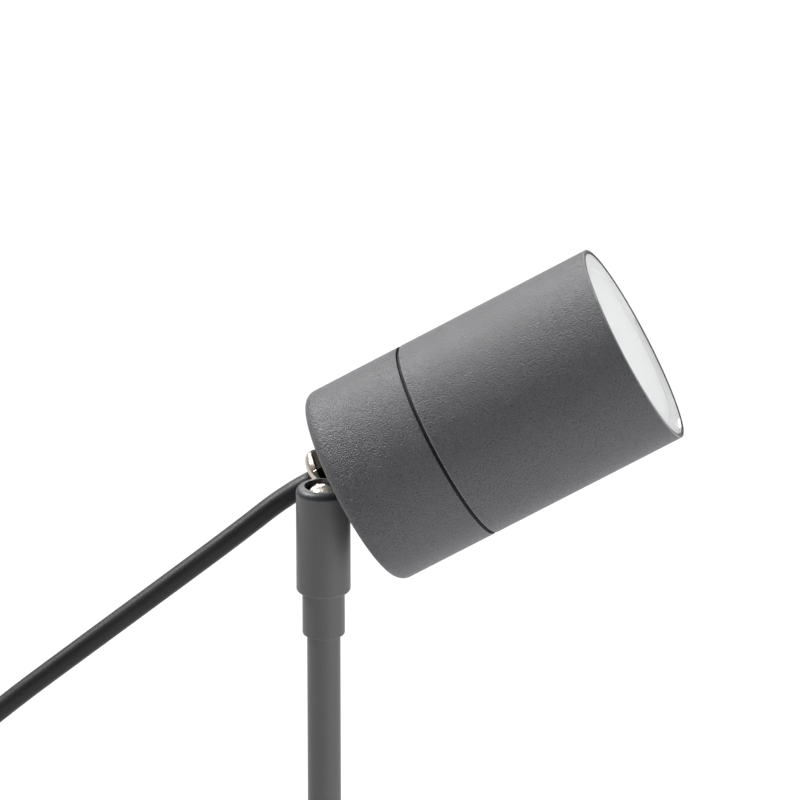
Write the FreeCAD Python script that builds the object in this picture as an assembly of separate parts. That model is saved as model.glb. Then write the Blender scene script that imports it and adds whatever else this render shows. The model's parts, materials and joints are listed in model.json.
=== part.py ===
import FreeCAD, Part
import math
import os
from FreeCAD import Placement, Rotation, Vector

# Garden spike spotlight, in millimetres.
# +Z is up, and z = 0 is the ground line, under the spike's flange, on the rod's axis.
# The head tilts in the XZ plane, towards +X. Its pieces are drawn upright about the ball's
# centre, with +Z out of the lamp's mouth, and are then tilted into place on the stem.

# ---- stem -------------------------------------------------------------------------------
pivot_height = 240.0        # ball centre above the ground
rest_tilt = 61.0            # head axis from the vertical at rest, degrees

rod_dia = 10.0
rod_wall = 1.5
rod_in_hub = 34.0           # rod held below the hub's top
rod_in_sleeve = 17.0

sleeve_dia = 12.7
sleeve_shown = 13.8         # sleeve below the collar's foot
sleeve_gap = 0.05           # radial, rod in sleeve and sleeve in collar

collar_dia = 16.2
collar_above = 5.8          # collar top above the ball centre
collar_below = 27.4         # collar foot below the ball centre
collar_mouth_dia = 11.2
collar_shoulder = 2.1       # rounding of the top edge
collar_foot_round = 0.8

ball_dia = 12.5
ball_gap = 0.05             # radial, ball in its seat
neck_dia = 7.0
neck_gap = 0.4              # each side of the neck in the collar's notch

seat_top_below = 4.3        # top of the ball seat below the ball centre
seat_floor = 2.4            # seat material under the ball
seat_side_gap = 0.1
pad_thick = 1.5

# ---- ground spike -----------------------------------------------------------------------
spike_length = 170.0        # below the ground line
spike_top_width = 36.0      # across opposite fins
spike_tip_width = 5.0
spike_core_top = 15.0
spike_core_tip = 4.0
fin_thick = 3.2
fin_count = 4
point_length = 12.0         # last stretch, where the fins end in a point
flange_dia = 46.0
flange_thick = 3.0
hub_dia_bottom = 26.0
hub_dia_top = 18.0
hub_height = 26.0           # above the flange
hub_gap = 0.05
hub_rib_count = 8
hub_rib_thick = 1.8
hub_round = 1.5

# ---- screws -----------------------------------------------------------------------------
grub_dia = 4.0
grub_key = 2.0              # hexagon key across flats
grub_gap = 0.05
small_screw_dia = 3.0
small_head_dia = 5.6
small_head_height = 2.0
earth_screw_dia = 4.0
earth_head_dia = 7.0
earth_head_height = 2.6
ring_tag_dia = 8.0
ring_tag_thick = 0.8
tap_depth = 2.8             # blind tapped holes in the rear cap

# ---- head -------------------------------------------------------------------------------
head_dia = 62.0
head_length = 95.0
back_distance = 9.8         # back face from the ball centre
cap_length = 31.9           # rear cap up to the parting groove
groove_width = 1.0
groove_depth = 1.0
back_round = 3.6
back_wall = 4.0
spigot_length = 12.0        # threaded part of the cap inside the barrel
spigot_gap = 0.05
thread_inset = 2.1          # spigot surface below the head's
spigot_wall = 2.6
barrel_wall = 3.2
lip_wall = 0.7
lip_bevel = 0.2

ring_section = 1.7          # O-ring of the parting joint
ring_from_groove = 4.0

glass_thick = 3.5
glass_recess = 0.2          # glass face behind the rim
glass_edge = 0.15           # bevel of the glass edge
glass_gap = 0.05
seal_side = 0.4             # seal round the glass edge
seal_short = 0.1            # seal edge below the glass face

lamp_ring_thick = 2.5
lamp_ring_flange = 1.5      # its rim, between the glass and the barrel's step
lamp_ring_gap = 0.2
lamp_glass_gap = 0.5        # lens behind the glass
lamp_side_gap = 2.8         # radial, lamp rim in the barrel
lens_rim = 0.8              # lamp rim round the lens
lamp_lens_thick = 1.4
lamp_rim_height = 5.0
lamp_base_dia = 27.0
lamp_base_height = 13.0
lamp_fin_count = 18
lamp_fin_depth = 1.6
lamp_fin_width = 1.2
pin_spacing = 10.0
pin_dia = 5.0
pin_neck_dia = 3.2
pin_length = 7.5
pin_head_length = 2.5

holder_dia = 30.0
holder_height = 15.0
holder_gap = 0.3            # lamp base above the holder
holder_screw_spacing = 20.0
bracket_width = 12.0
bracket_thick = 1.2
bracket_foot = 7.0
bracket_height = 20.7       # lamp holder's foot above the cap's back wall
bracket_wall_gap = 4.0      # bracket feet to the cap's inner wall

# ---- ball stud fixings ------------------------------------------------------------------
stud_dia = 6.0
stud_gap = 0.05
washer_dia = 11.8
washer_thick = 1.2
nut_across = 10.0
nut_height = 5.0
stud_proud = 1.0

# ---- cable gland, beside the ball stud on the far side of the back face ----------------
gland_collar_gap = 0.65     # gland cap to the collar, side by side
gland_up = 2.4              # from the head's axis, towards the head's upper side
gland_reach = 11.6          # end of the gland behind the back face
gland_dia = 16.5
gland_end_dia = 11.2
gland_dome = 3.5            # height of the rounded end
gland_thread_dia = 12.0
gland_thread_length = 8.0
gland_across = 15.0
gland_flange = 4.0
gland_nose_dia = 13.2
gland_nose_length = 4.6
gland_gap = 0.05
seal_dia = 10.6
seal_length = 6.2

# ---- terminal block and wires -----------------------------------------------------------
block_length = 25.0
block_width = 8.5
block_height = 11.0
block_wall_gap = 3.39       # block corners to the cap's inner wall, on the -Y side
block_ways = 3
block_way_spacing = 8.0
block_bore = 3.2
block_screw_dia = 3.4
wire_dia = 2.0
wire_hole_gap = 0.6         # radial, round a lead in the lamp holder's foot
wire_hole_depth = 4.0
lead_half_spacing = 5.2
lead_aside = 9.5
crimp_wall = 0.8
crimp_bore_gap = 0.1        # radial, core in the earth tag's crimp
crimp_length = 5.0
tag_tail = 10.0             # tail of the earth tag from its centre, towards -Y
tag_side_gap = 1.8          # crimp of the earth tag to the bracket's leg
entry_inside = 8.0          # cable sheath inside the back wall

# ---- cable ------------------------------------------------------------------------------
cable_dia = 6.4
coil_turns_in = 3
coil_turns_out = 2.75
coil_start = 195.0          # degrees, where the first turn begins
coil_inner_radius = 28.0
coil_pitch = 7.0
coil_rise = 6.95
coil_centre = (-132.0, -21.0)

# Route points in the object's frame, between the gland, the coil and the plug.
lead_start = 9.6            # straight stretch along the gland's axis
lead_points = [
    (-26.0, 17.0, 224.0),
    (-60.0, 17.0, 197.24),
]
run_points = [
    (-108.0, 17.0, 159.461),
    (-132.6, 17.8, 132.3),
    (-154.9, 20.0, 98.0),
    (-171.5, 23.5, 60.4),
    (-183.5, 20.6, 28.8),
    (-187.1, 9.5, 12.6),
]
ground_run = 20.0           # straight stretch on the ground before the coil
tail_run = 20.0             # straight stretch off the coil's last turn
tail_points = [
    (-74.5, -54.4, 18.8),
]

# ---- plug -------------------------------------------------------------------------------
plug_entry = (-54.0, -54.4, 18.8)
plug_roll = 35.0            # about its own axis, as it lies
plug_dia = 37.6
plug_grip_dia = 26.0
plug_length = 40.0
plug_relief_length = 16.0
plug_relief_dia = 10.0
plug_rib_count = 4
plug_pin_dia = 4.8
plug_pin_length = 19.0
plug_pin_spacing = 19.0
plug_clip_width = 7.0
plug_clip_thick = 0.8
plug_clip_length = 15.0

# ---- sizes that follow from those above ----------------------------------------------------
UP = Vector(0, 0, 1)
head_radius = head_dia / 2
ball_radius = ball_dia / 2
cable_radius = cable_dia / 2
flange_top = flange_thick
hub_top = flange_top + hub_height
collar_top = pivot_height + collar_above
collar_foot = pivot_height - collar_below
sleeve_foot = collar_foot - sleeve_shown
seat_top = pivot_height - seat_top_below
seat_foot = pivot_height - ball_radius - ball_gap - seat_floor
sleeve_top = seat_foot - pad_thick
rod_foot = hub_top - rod_in_hub
rod_top = sleeve_foot + rod_in_sleeve
collar_bore = sleeve_dia / 2 + sleeve_gap

back = back_distance
inner_floor = back + back_wall
cap_end = back + cap_length
barrel_start = cap_end + groove_width
spigot_end = barrel_start + spigot_length
mouth = back + head_length
spigot_radius = head_radius - thread_inset
cap_bore = spigot_radius - spigot_wall
barrel_bore = head_radius - barrel_wall
pocket_radius = head_radius - lip_wall
glass_front = mouth - glass_recess
glass_back = glass_front - glass_thick
pocket_floor = glass_back - lamp_ring_flange
glass_radius = pocket_radius - seal_side - 2 * glass_gap
lamp_dia = 2 * (barrel_bore - lamp_side_gap)
lamp_lens_dia = lamp_dia - 2 * lens_rim
lamp_front = glass_back - lamp_glass_gap
lens_back = lamp_front - lamp_lens_thick
bracket_top = inner_floor + bracket_height
holder_foot = bracket_top
holder_top = holder_foot + holder_height
lamp_back = holder_top + holder_gap
bracket_half_span = cap_bore - bracket_wall_gap - bracket_foot + bracket_thick
block_half = block_length / 2
block_aside = math.sqrt(cap_bore ** 2 - block_half ** 2) - block_width / 2 - block_wall_gap
gland_aside = collar_dia / 2 + gland_dia / 2 + gland_collar_gap
gland_end = back - gland_reach
gland_at = Vector(-gland_up, gland_aside, 0)
way_height = inner_floor + block_height * 0.4
crimp_height = inner_floor + ring_tag_thick + wire_dia / 2 + wire_hole_gap
head_place = Placement(Vector(0, 0, pivot_height), Rotation(Vector(0, 1, 0), rest_tilt))

nodes = {}


# ---- drawing helpers ----------------------------------------------------------------------
def cylinder(radius, low, high, x=0.0, y=0.0):
    """A round bar along Z between two heights."""
    return Part.makeCylinder(radius, high - low, Vector(x, y, low), UP)


def ring(outer, inner, low, high, x=0.0, y=0.0):
    """A tube along Z between two heights."""
    return cylinder(outer, low, high, x, y).cut(cylinder(inner, low - 1, high + 1, x, y))


def cross_bar(radius, start, end):
    """A round bar between two points."""
    span = Vector(*end) - Vector(*start)
    return Part.makeCylinder(radius, span.Length, Vector(*start), span)


def block(size, low_corner):
    """A box from its size and its lowest corner."""
    return Part.makeBox(size[0], size[1], size[2], Vector(*low_corner))


def turned(profile):
    """A solid turned about Z from (radius, height) points."""
    outline = Part.makePolygon([Vector(r, 0, z) for r, z in profile + profile[:1]])
    return Part.Face(outline).revolve(Vector(0, 0, 0), UP, 360)


def hexagon(across, low, high, x=0.0, y=0.0):
    """A hexagonal bar along Z, with flats facing +Y and -Y."""
    reach = across / math.sqrt(3)
    turns = [math.radians(60 * i) for i in range(7)]
    corners = [Vector(x + reach * math.cos(a), y + reach * math.sin(a), low) for a in turns]
    return Part.Face(Part.makePolygon(corners)).extrude(Vector(0, 0, high - low))


def rims(shape, radius, height):
    """The circular edges of one radius at one height."""
    found = []
    for edge in shape.Edges:
        curve = edge.Curve
        if not isinstance(curve, Part.Circle):
            continue
        if abs(curve.Radius - radius) < 0.01 and abs(curve.Center.z - height) < 0.01:
            found.append(edge)
    return found


def round_copies(shape, count, first=0.0):
    """Copies of a shape at even turns about Z."""
    copies = []
    for i in range(count):
        copy = shape.copy()
        copy.rotate(Vector(0, 0, 0), UP, first + 360.0 * i / count)
        copies.append(copy)
    return copies


def joined(shapes):
    """One shape from several that overlap."""
    return shapes[0].multiFuse(shapes[1:]).removeSplitter()


def separate(shapes):
    """Several solids kept as one group."""
    return Part.makeCompound(shapes)


def pan_screw(shank_dia, head_size, head_height, under_head, depth, x, y):
    """A cross-slot screw that points down, with its head on a face at one height."""
    head = cylinder(head_size / 2, under_head, under_head + head_height, x, y)
    head = head.makeFillet(head_height * 0.45, rims(head, head_size / 2, under_head + head_height))
    shank = cylinder(shank_dia / 2, under_head - depth, under_head, x, y)
    slot_width = head_size * 0.14
    slot_long = head_size * 0.62
    slot_low = under_head + head_height * 0.45
    slots = []
    for size_x, size_y in ((slot_long, slot_width), (slot_width, slot_long)):
        corner = (x - size_x / 2, y - size_y / 2, slot_low)
        slots.append(block((size_x, size_y, head_height), corner))
    return joined([head, shank]).cut(joined(slots))


# ---- ground spike and rod ------------------------------------------------------------------
def make_spike():
    """The moulded spike: flange, ribbed hub, tapered core and fins that end in a point."""
    taper_foot = -spike_length + point_length
    core = Part.makeCone(spike_core_tip / 2, spike_core_top / 2, -taper_foot,
                         Vector(0, 0, taper_foot), UP)
    point = Part.makeCone(0.6, spike_core_tip / 2, point_length, Vector(0, 0, -spike_length), UP)
    fin_outline = [
        (0, 0),
        (spike_top_width / 2, 0),
        (spike_top_width / 2, -6.0),
        (spike_tip_width / 2, taper_foot),
        (0, -spike_length + 1.0),
    ]
    corners = [Vector(x, -fin_thick / 2, z) for x, z in fin_outline + fin_outline[:1]]
    fin = Part.Face(Part.makePolygon(corners)).extrude(Vector(0, fin_thick, 0))
    flange = cylinder(flange_dia / 2, 0, flange_top)
    flange = flange.makeChamfer(1.0, rims(flange, flange_dia / 2, flange_top))
    hub = Part.makeCone(hub_dia_bottom / 2, hub_dia_top / 2, hub_height,
                        Vector(0, 0, flange_top), UP)
    hub = hub.makeFillet(hub_round, rims(hub, hub_dia_top / 2, hub_top))
    rib_outline = [
        (hub_dia_top / 2 - 3, flange_top),
        (flange_dia / 2 - 3, flange_top),
        (hub_dia_top / 2, flange_top + hub_height * 0.72),
        (hub_dia_top / 2 - 3, flange_top + hub_height * 0.72),
    ]
    corners = [Vector(x, -hub_rib_thick / 2, z) for x, z in rib_outline + rib_outline[:1]]
    rib = Part.Face(Part.makePolygon(corners)).extrude(Vector(0, hub_rib_thick, 0))
    fins = round_copies(fin, fin_count, 180.0 / fin_count)
    ribs = round_copies(rib, hub_rib_count, 180.0 / hub_rib_count)
    spike = joined([core, point, flange, hub] + fins + ribs)
    spike = spike.cut(cylinder(rod_dia / 2 + hub_gap, rod_foot, hub_top + 1))
    screw_at = flange_top + hub_height * 0.8
    hole = cross_bar(grub_dia / 2 + grub_gap, (0, 0, screw_at), (0, hub_dia_bottom, screw_at))
    nodes["ground_spike"] = spike.cut(hole)
    nodes["hub_screw"] = grub_screw(rod_dia / 2, hub_dia_top / 2 + 0.3, screw_at)


def grub_screw(start, end, height):
    """A socket screw along +Y that bears on the rod."""
    screw = cross_bar(grub_dia / 2, (0, start, height), (0, end, height))
    key = hexagon(grub_key, 0, 2.0)
    key.Placement = Placement(Vector(0, end - 1.6, height), Rotation(Vector(1, 0, 0), -90))
    return screw.cut(key)


def make_rod():
    """The tube between the spike's hub and the sleeve."""
    nodes["rod"] = ring(rod_dia / 2, rod_dia / 2 - rod_wall, rod_foot, rod_top)


def make_sleeve():
    """The threaded sleeve on the rod's top, which carries the ball seat."""
    sleeve = cylinder(sleeve_dia / 2, sleeve_foot, sleeve_top)
    sleeve = sleeve.makeFillet(0.4, rims(sleeve, sleeve_dia / 2, sleeve_foot))
    sleeve = sleeve.makeChamfer(0.5, rims(sleeve, sleeve_dia / 2, sleeve_top))
    sleeve = sleeve.cut(cylinder(rod_dia / 2 + sleeve_gap, sleeve_foot - 1, rod_top))
    screw_at = sleeve_foot + sleeve_shown * 0.45
    hole = cross_bar(grub_dia / 2 + grub_gap, (0, 0, screw_at), (0, sleeve_dia, screw_at))
    nodes["sleeve"] = sleeve.cut(hole)
    nodes["sleeve_screw"] = grub_screw(rod_dia / 2, sleeve_dia / 2 - 0.2, screw_at)


# ---- ball joint -----------------------------------------------------------------------------
def make_seat():
    """The friction pad and the cup that press the ball up into the collar."""
    radius = collar_bore - seat_side_gap
    cup = cylinder(radius, seat_foot, seat_top)
    socket = Part.makeSphere(ball_radius + ball_gap, Vector(0, 0, pivot_height))
    nodes["ball_seat"] = cup.cut(socket)
    nodes["friction_pad"] = cylinder(radius, sleeve_top, seat_foot)


def make_collar():
    """The union nut over the ball, notched on one side so that the head can lie level."""
    collar = cylinder(collar_dia / 2, collar_foot, collar_top)
    collar = collar.makeFillet(collar_shoulder, rims(collar, collar_dia / 2, collar_top))
    collar = collar.makeFillet(collar_foot_round, rims(collar, collar_dia / 2, collar_foot))
    socket_radius = ball_radius + ball_gap
    hollow = [
        cylinder(collar_bore, collar_foot - 1, pivot_height - 1.0),
        cylinder(socket_radius, pivot_height - 2.0, pivot_height),
        Part.makeSphere(socket_radius, Vector(0, 0, pivot_height)),
        cylinder(collar_mouth_dia / 2, pivot_height, collar_top + 1),
    ]
    for piece in hollow:
        collar = collar.cut(piece)
    half = neck_dia / 2 + neck_gap
    notch = joined([
        cross_bar(half, (0, 0, pivot_height), (collar_dia, 0, pivot_height)),
        block((collar_dia, 2 * half, collar_above + 1), (0, -half, pivot_height)),
    ])
    nodes["collar"] = collar.cut(notch)


def make_ball_stud():
    """The ball, its neck and the threaded end that holds the rear cap."""
    ball = Part.makeSphere(ball_radius)
    neck = cylinder(neck_dia / 2, 0, back)
    washer_top = inner_floor + washer_thick
    nut_top = washer_top + nut_height
    thread = cylinder(stud_dia / 2, back - 1, nut_top + stud_proud)
    thread = thread.makeChamfer(0.6, rims(thread, stud_dia / 2, nut_top + stud_proud))
    nodes["ball_stud"] = joined([ball, neck, thread])
    hole = stud_dia / 2 + stud_gap
    nodes["stud_washer"] = ring(washer_dia / 2, hole, inner_floor, washer_top)
    nut = hexagon(nut_across, washer_top, nut_top)
    nut = nut.common(turned([
        (0, washer_top),
        (nut_across / 2, washer_top),
        (nut_across, washer_top + nut_across * 0.25),
        (nut_across, nut_top - nut_across * 0.25),
        (nut_across / 2, nut_top),
        (0, nut_top),
    ]))
    nodes["stud_nut"] = nut.cut(cylinder(hole, washer_top - 1, nut_top + 1))


# ---- head casing ----------------------------------------------------------------------------
def make_rear_cap():
    """The cast rear cap: back wall, side wall and the threaded spigot for the barrel."""
    cap = cylinder(head_radius, back, cap_end)
    cap = cap.makeFillet(back_round, rims(cap, head_radius, back))
    spigot = joined([
        cylinder(head_radius - groove_depth, cap_end - 1, barrel_start - 0.02),
        cylinder(spigot_radius, cap_end - 1, spigot_end),
    ])
    spigot = spigot.makeChamfer(0.6, rims(spigot, spigot_radius, spigot_end))
    cap = joined([cap, spigot])
    cap = cap.cut(cylinder(cap_bore, inner_floor, spigot_end + 1))
    ring_low = barrel_start + ring_from_groove
    ring_floor = spigot_radius + spigot_gap - ring_section
    cap = cap.cut(ring(head_radius, ring_floor, ring_low, ring_low + ring_section * 1.3))
    cap = cap.cut(cylinder(stud_dia / 2 + stud_gap, back - 1, inner_floor + 1))
    gland_hole = gland_thread_dia / 2 + gland_gap
    cap = cap.cut(cylinder(gland_hole, back - 1, inner_floor + 1, gland_at.x, gland_at.y))
    for x, y, radius in tapped_holes():
        cap = cap.cut(cylinder(radius, inner_floor - tap_depth, inner_floor + 1, x, y))
    nodes["rear_cap"] = cap
    section = ring_section / 2
    middle = ring_low + ring_section * 0.65
    nodes["barrel_o_ring"] = Part.makeTorus(ring_floor + section, section - 0.02,
                                            Vector(0, 0, middle), UP)


def tapped_holes():
    """The blind holes in the cap's back wall: x, y and radius."""
    foot_at = bracket_half_span + bracket_foot * 0.55
    small = small_screw_dia / 2 + 0.05
    return [
        (foot_at, 0, small),
        (-foot_at, 0, small),
        (earth_at()[0], earth_at()[1], earth_screw_dia / 2 + 0.05),
    ]


def earth_at():
    """The earth screw's place on the back wall, between the gland and the bracket's leg."""
    crimp_radius = wire_dia / 2 + crimp_bore_gap + crimp_wall
    leg = bracket_half_span - bracket_thick
    return (leg - tag_side_gap - crimp_radius, gland_at.y - 2.0)


def make_barrel():
    """The front barrel, with its thread, its glass pocket and its thin bevelled lip."""
    barrel = cylinder(head_radius, barrel_start, mouth)
    barrel = barrel.makeFillet(0.3, rims(barrel, head_radius, barrel_start))
    barrel = barrel.makeChamfer(lip_bevel, rims(barrel, head_radius, mouth))
    barrel = barrel.cut(cylinder(spigot_radius + spigot_gap, barrel_start - 1, spigot_end + 0.5))
    barrel = barrel.cut(cylinder(barrel_bore, spigot_end, pocket_floor + 1))
    barrel = barrel.cut(cylinder(pocket_radius, pocket_floor, mouth + 1))
    nodes["front_barrel"] = barrel.makeChamfer(lip_bevel, rims(barrel, pocket_radius, mouth))


def make_glass():
    """The front glass and the seal round its edge."""
    glass = cylinder(glass_radius, glass_back, glass_front)
    nodes["front_glass"] = glass.makeChamfer(glass_edge, rims(glass, glass_radius, glass_front))
    outer = pocket_radius - glass_gap
    nodes["glass_seal"] = ring(outer, outer - seal_side, glass_back, glass_front - seal_short)


# ---- lamp and holder ------------------------------------------------------------------------
def make_lamp_ring():
    """The pale ring that carries the glass on the barrel's step and centres the lamp's rim."""
    low = glass_back - lamp_ring_thick
    body = joined([
        cylinder(pocket_radius - glass_gap, pocket_floor, glass_back),
        cylinder(barrel_bore - lamp_ring_gap, low, glass_back),
    ])
    body = body.cut(cylinder(lamp_lens_dia / 2 + lamp_ring_gap, low - 1, glass_back + 1))
    step = cylinder(lamp_dia / 2 + lamp_ring_gap, low - 1, lens_back + 0.1)
    nodes["lamp_ring"] = body.cut(step)


def make_lamp():
    """The reflector lamp: finned body, diffuser and twist-lock pins."""
    rim = lamp_dia / 2
    base = lamp_base_dia / 2
    waist = lamp_back + lamp_base_height
    shoulder = lens_back - lamp_rim_height
    middle = Vector((rim + base) / 2 + 2.4, 0, (waist + shoulder) / 2)
    edges = [
        Part.LineSegment(Vector(0, 0, lamp_back), Vector(base - 1, 0, lamp_back)),
        Part.LineSegment(Vector(base - 1, 0, lamp_back), Vector(base, 0, lamp_back + 1)),
        Part.LineSegment(Vector(base, 0, lamp_back + 1), Vector(base, 0, waist)),
        Part.Arc(Vector(base, 0, waist), middle, Vector(rim, 0, shoulder)),
        Part.LineSegment(Vector(rim, 0, shoulder), Vector(rim, 0, lens_back)),
        Part.LineSegment(Vector(rim, 0, lens_back), Vector(0, 0, lens_back)),
        Part.LineSegment(Vector(0, 0, lens_back), Vector(0, 0, lamp_back)),
    ]
    outline = Part.Wire([edge.toShape() for edge in edges])
    body = Part.Face(outline).revolve(Vector(0, 0, 0), UP, 360)
    slot_low = waist + 4
    slot = block((lamp_dia, lamp_fin_width, shoulder - 2 - slot_low),
                 (base + lamp_fin_depth + 3, -lamp_fin_width / 2, slot_low))
    nodes["lamp_body"] = body.cut(separate(round_copies(slot, lamp_fin_count)))
    lens = cylinder(lamp_lens_dia / 2, lens_back, lamp_front)
    nodes["lamp_lens"] = lens.makeFillet(0.6, rims(lens, lamp_lens_dia / 2, lamp_front))
    pins = []
    for side in (-1, 1):
        x = side * pin_spacing / 2
        foot = lamp_back - pin_length
        neck = cylinder(pin_neck_dia / 2, foot, lamp_back, x)
        head = cylinder(pin_dia / 2, foot, foot + pin_head_length, x)
        pins.append(joined([neck, head]))
    nodes["lamp_pins"] = separate(pins)


def make_holder():
    """The ceramic lamp holder, its bracket and their screws."""
    holder = cylinder(holder_dia / 2, holder_foot, holder_top)
    holder = holder.makeChamfer(0.8, rims(holder, holder_dia / 2, holder_top))
    for side in (-1, 1):
        x = side * pin_spacing / 2
        well_foot = lamp_back - pin_length - 0.5
        holder = holder.cut(cylinder(pin_dia / 2 + 0.3, well_foot, holder_top + 1, x))
        screw_x = side * holder_screw_spacing / 2
        holder = holder.cut(cylinder(small_screw_dia / 2 + 0.1, holder_foot - 1,
                                     holder_top + 1, screw_x))
        holder = holder.cut(cylinder(small_head_dia / 2 + 0.3, holder_top - 4,
                                     holder_top + 1, screw_x))
        holder = holder.cut(cylinder(wire_dia / 2 + wire_hole_gap, holder_foot - 1,
                                     holder_foot + wire_hole_depth,
                                     side * lead_half_spacing, -lead_aside))
    nodes["lamp_holder"] = holder
    nodes["holder_bracket"] = bracket()
    head_seat = holder_top - 4
    depth = head_seat - bracket_top + bracket_thick + 0.8
    screws = []
    for side in (-1, 1):
        x = side * holder_screw_spacing / 2
        screws.append(pan_screw(small_screw_dia, small_head_dia, small_head_height,
                                head_seat, depth, x, 0))
    nodes["holder_screws"] = separate(screws)
    foot_at = bracket_half_span + bracket_foot * 0.55
    feet = []
    for side in (-1, 1):
        feet.append(pan_screw(small_screw_dia, small_head_dia, small_head_height,
                              inner_floor + bracket_thick, bracket_thick + tap_depth - 0.3,
                              side * foot_at, 0))
    nodes["bracket_screws"] = separate(feet)


def bracket():
    """The bent steel strip that carries the lamp holder over the stud nut."""
    half = bracket_width / 2
    span = bracket_half_span
    thick = bracket_thick
    plate = block((2 * span, bracket_width, thick), (-span, -half, bracket_top - thick))
    pieces = [plate]
    for side in (-1, 1):
        leg_x = span - thick if side > 0 else -span
        leg_height = bracket_top - inner_floor
        pieces.append(block((thick, bracket_width, leg_height), (leg_x, -half, inner_floor)))
        foot_x = span - thick if side > 0 else -span - bracket_foot + thick
        pieces.append(block((bracket_foot, bracket_width, thick), (foot_x, -half, inner_floor)))
    strip = joined(pieces)
    foot_at = span + bracket_foot * 0.55
    for x in (-foot_at, foot_at):
        strip = strip.cut(cylinder(small_screw_dia / 2 + 0.1, inner_floor - 1,
                                   inner_floor + thick + 1, x))
    for x in (-holder_screw_spacing / 2, holder_screw_spacing / 2):
        strip = strip.cut(cylinder(small_screw_dia / 2 + 0.05, bracket_top - thick - 1,
                                   bracket_top + 1, x))
    return strip


# ---- cable gland ----------------------------------------------------------------------------
def make_gland():
    """The nickel-plated gland: body, sealing bush and domed cap nut."""
    x, y = gland_at.x, gland_at.y
    inside = back + gland_thread_length
    flange_low = back - gland_flange
    nose_end = flange_low - gland_nose_length
    body = joined([
        cylinder(gland_thread_dia / 2, back - 1, inside, x, y),
        hexagon(gland_across, flange_low, back, x, y),
        cylinder(gland_nose_dia / 2, nose_end, back - 1, x, y),
    ])
    body = body.cut(cylinder(cable_radius + 0.3, nose_end - 1, inside + 1, x, y))
    bush_radius = seal_dia / 2
    body = body.cut(cylinder(bush_radius + gland_gap, nose_end - 1, flange_low + 1.2, x, y))
    nodes["gland_body"] = body
    bush_high = flange_low + 1.2
    bush_low = bush_high - seal_length
    bush_bore = cable_radius + gland_gap
    nodes["gland_bush"] = ring(bush_radius, bush_bore, bush_low, bush_high, x, y)
    outer = gland_dia / 2
    end_radius = gland_end_dia / 2
    cap_top = flange_low - 0.2
    dome_start = gland_end + gland_dome
    bulge = Vector(end_radius + (outer - end_radius) * 0.76, 0, gland_end + gland_dome * 0.28)
    edges = [
        Part.LineSegment(Vector(0, 0, gland_end), Vector(end_radius, 0, gland_end)),
        Part.Arc(Vector(end_radius, 0, gland_end), bulge, Vector(outer, 0, dome_start)),
        Part.LineSegment(Vector(outer, 0, dome_start), Vector(outer, 0, cap_top)),
        Part.LineSegment(Vector(outer, 0, cap_top), Vector(0, 0, cap_top)),
        Part.LineSegment(Vector(0, 0, cap_top), Vector(0, 0, gland_end)),
    ]
    outline = Part.Wire([edge.toShape() for edge in edges])
    cap = Part.Face(outline).revolve(Vector(0, 0, 0), UP, 360)
    cap = cap.common(hexagon(gland_across, gland_end - 1, cap_top + 1).fuse(
        cylinder(outer, gland_end - 1, dome_start)))
    cavity_low = min(bush_low, nose_end) - gland_gap
    cap = cap.cut(cylinder(gland_nose_dia / 2 + gland_gap, cavity_low, cap_top + 1))
    cap = cap.cut(cylinder(cable_radius + 0.1, gland_end - 1, cap_top))
    cap.translate(gland_at)
    nodes["gland_cap"] = cap
    entry_end = inner_floor + entry_inside
    nodes["cable_entry"] = cylinder(cable_radius, gland_end, entry_end, x, y)


# ---- terminal block and wires ---------------------------------------------------------------
def make_terminals():
    """The three-way terminal block with its clamp screws, and the earth screw with its tag."""
    y = -block_aside
    top = inner_floor + block_height
    body = block((block_length, block_width, block_height),
                 (-block_length / 2, y - block_width / 2, inner_floor))
    screws = []
    for i in range(block_ways):
        x = (i - (block_ways - 1) / 2) * block_way_spacing
        body = body.cut(cross_bar(block_bore / 2, (x, y - block_width, way_height),
                                  (x, y + block_width, way_height)))
        body = body.cut(cylinder(block_screw_dia / 2 + 0.15, top - 3.4, top + 1, x, y))
        screw = cylinder(block_screw_dia / 2, top - 3.4, top - 0.6, x, y)
        slot = block((block_screw_dia + 1, 0.7, 1.5),
                     (x - block_screw_dia / 2 - 0.5, y - 0.35, top - 1.4))
        screws.append(screw.cut(slot))
    nodes["terminal_block"] = body
    nodes["terminal_screws"] = separate(screws)
    x, y = earth_at()
    tag_top = inner_floor + ring_tag_thick
    crimp_at = y - tag_tail
    crimp_bore = wire_dia / 2 + crimp_bore_gap
    crimp = cross_bar(crimp_bore + crimp_wall, (x, crimp_at, crimp_height),
                      (x, crimp_at + crimp_length, crimp_height))
    tail = block((wire_dia, tag_tail, ring_tag_thick), (x - wire_dia / 2, crimp_at, inner_floor))
    tag = joined([cylinder(ring_tag_dia / 2, inner_floor, tag_top, x, y), tail, crimp])
    tag = tag.cut(cross_bar(crimp_bore, (x, crimp_at - 1, crimp_height),
                            (x, crimp_at + crimp_length + 1, crimp_height)))
    nodes["earth_tag"] = tag.cut(cylinder(earth_screw_dia / 2 + 0.1, inner_floor - 1,
                                          tag_top + 1, x, y))
    nodes["earth_screw"] = pan_screw(earth_screw_dia, earth_head_dia, earth_head_height,
                                     tag_top, ring_tag_thick + tap_depth - 0.3, x, y)


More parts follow.
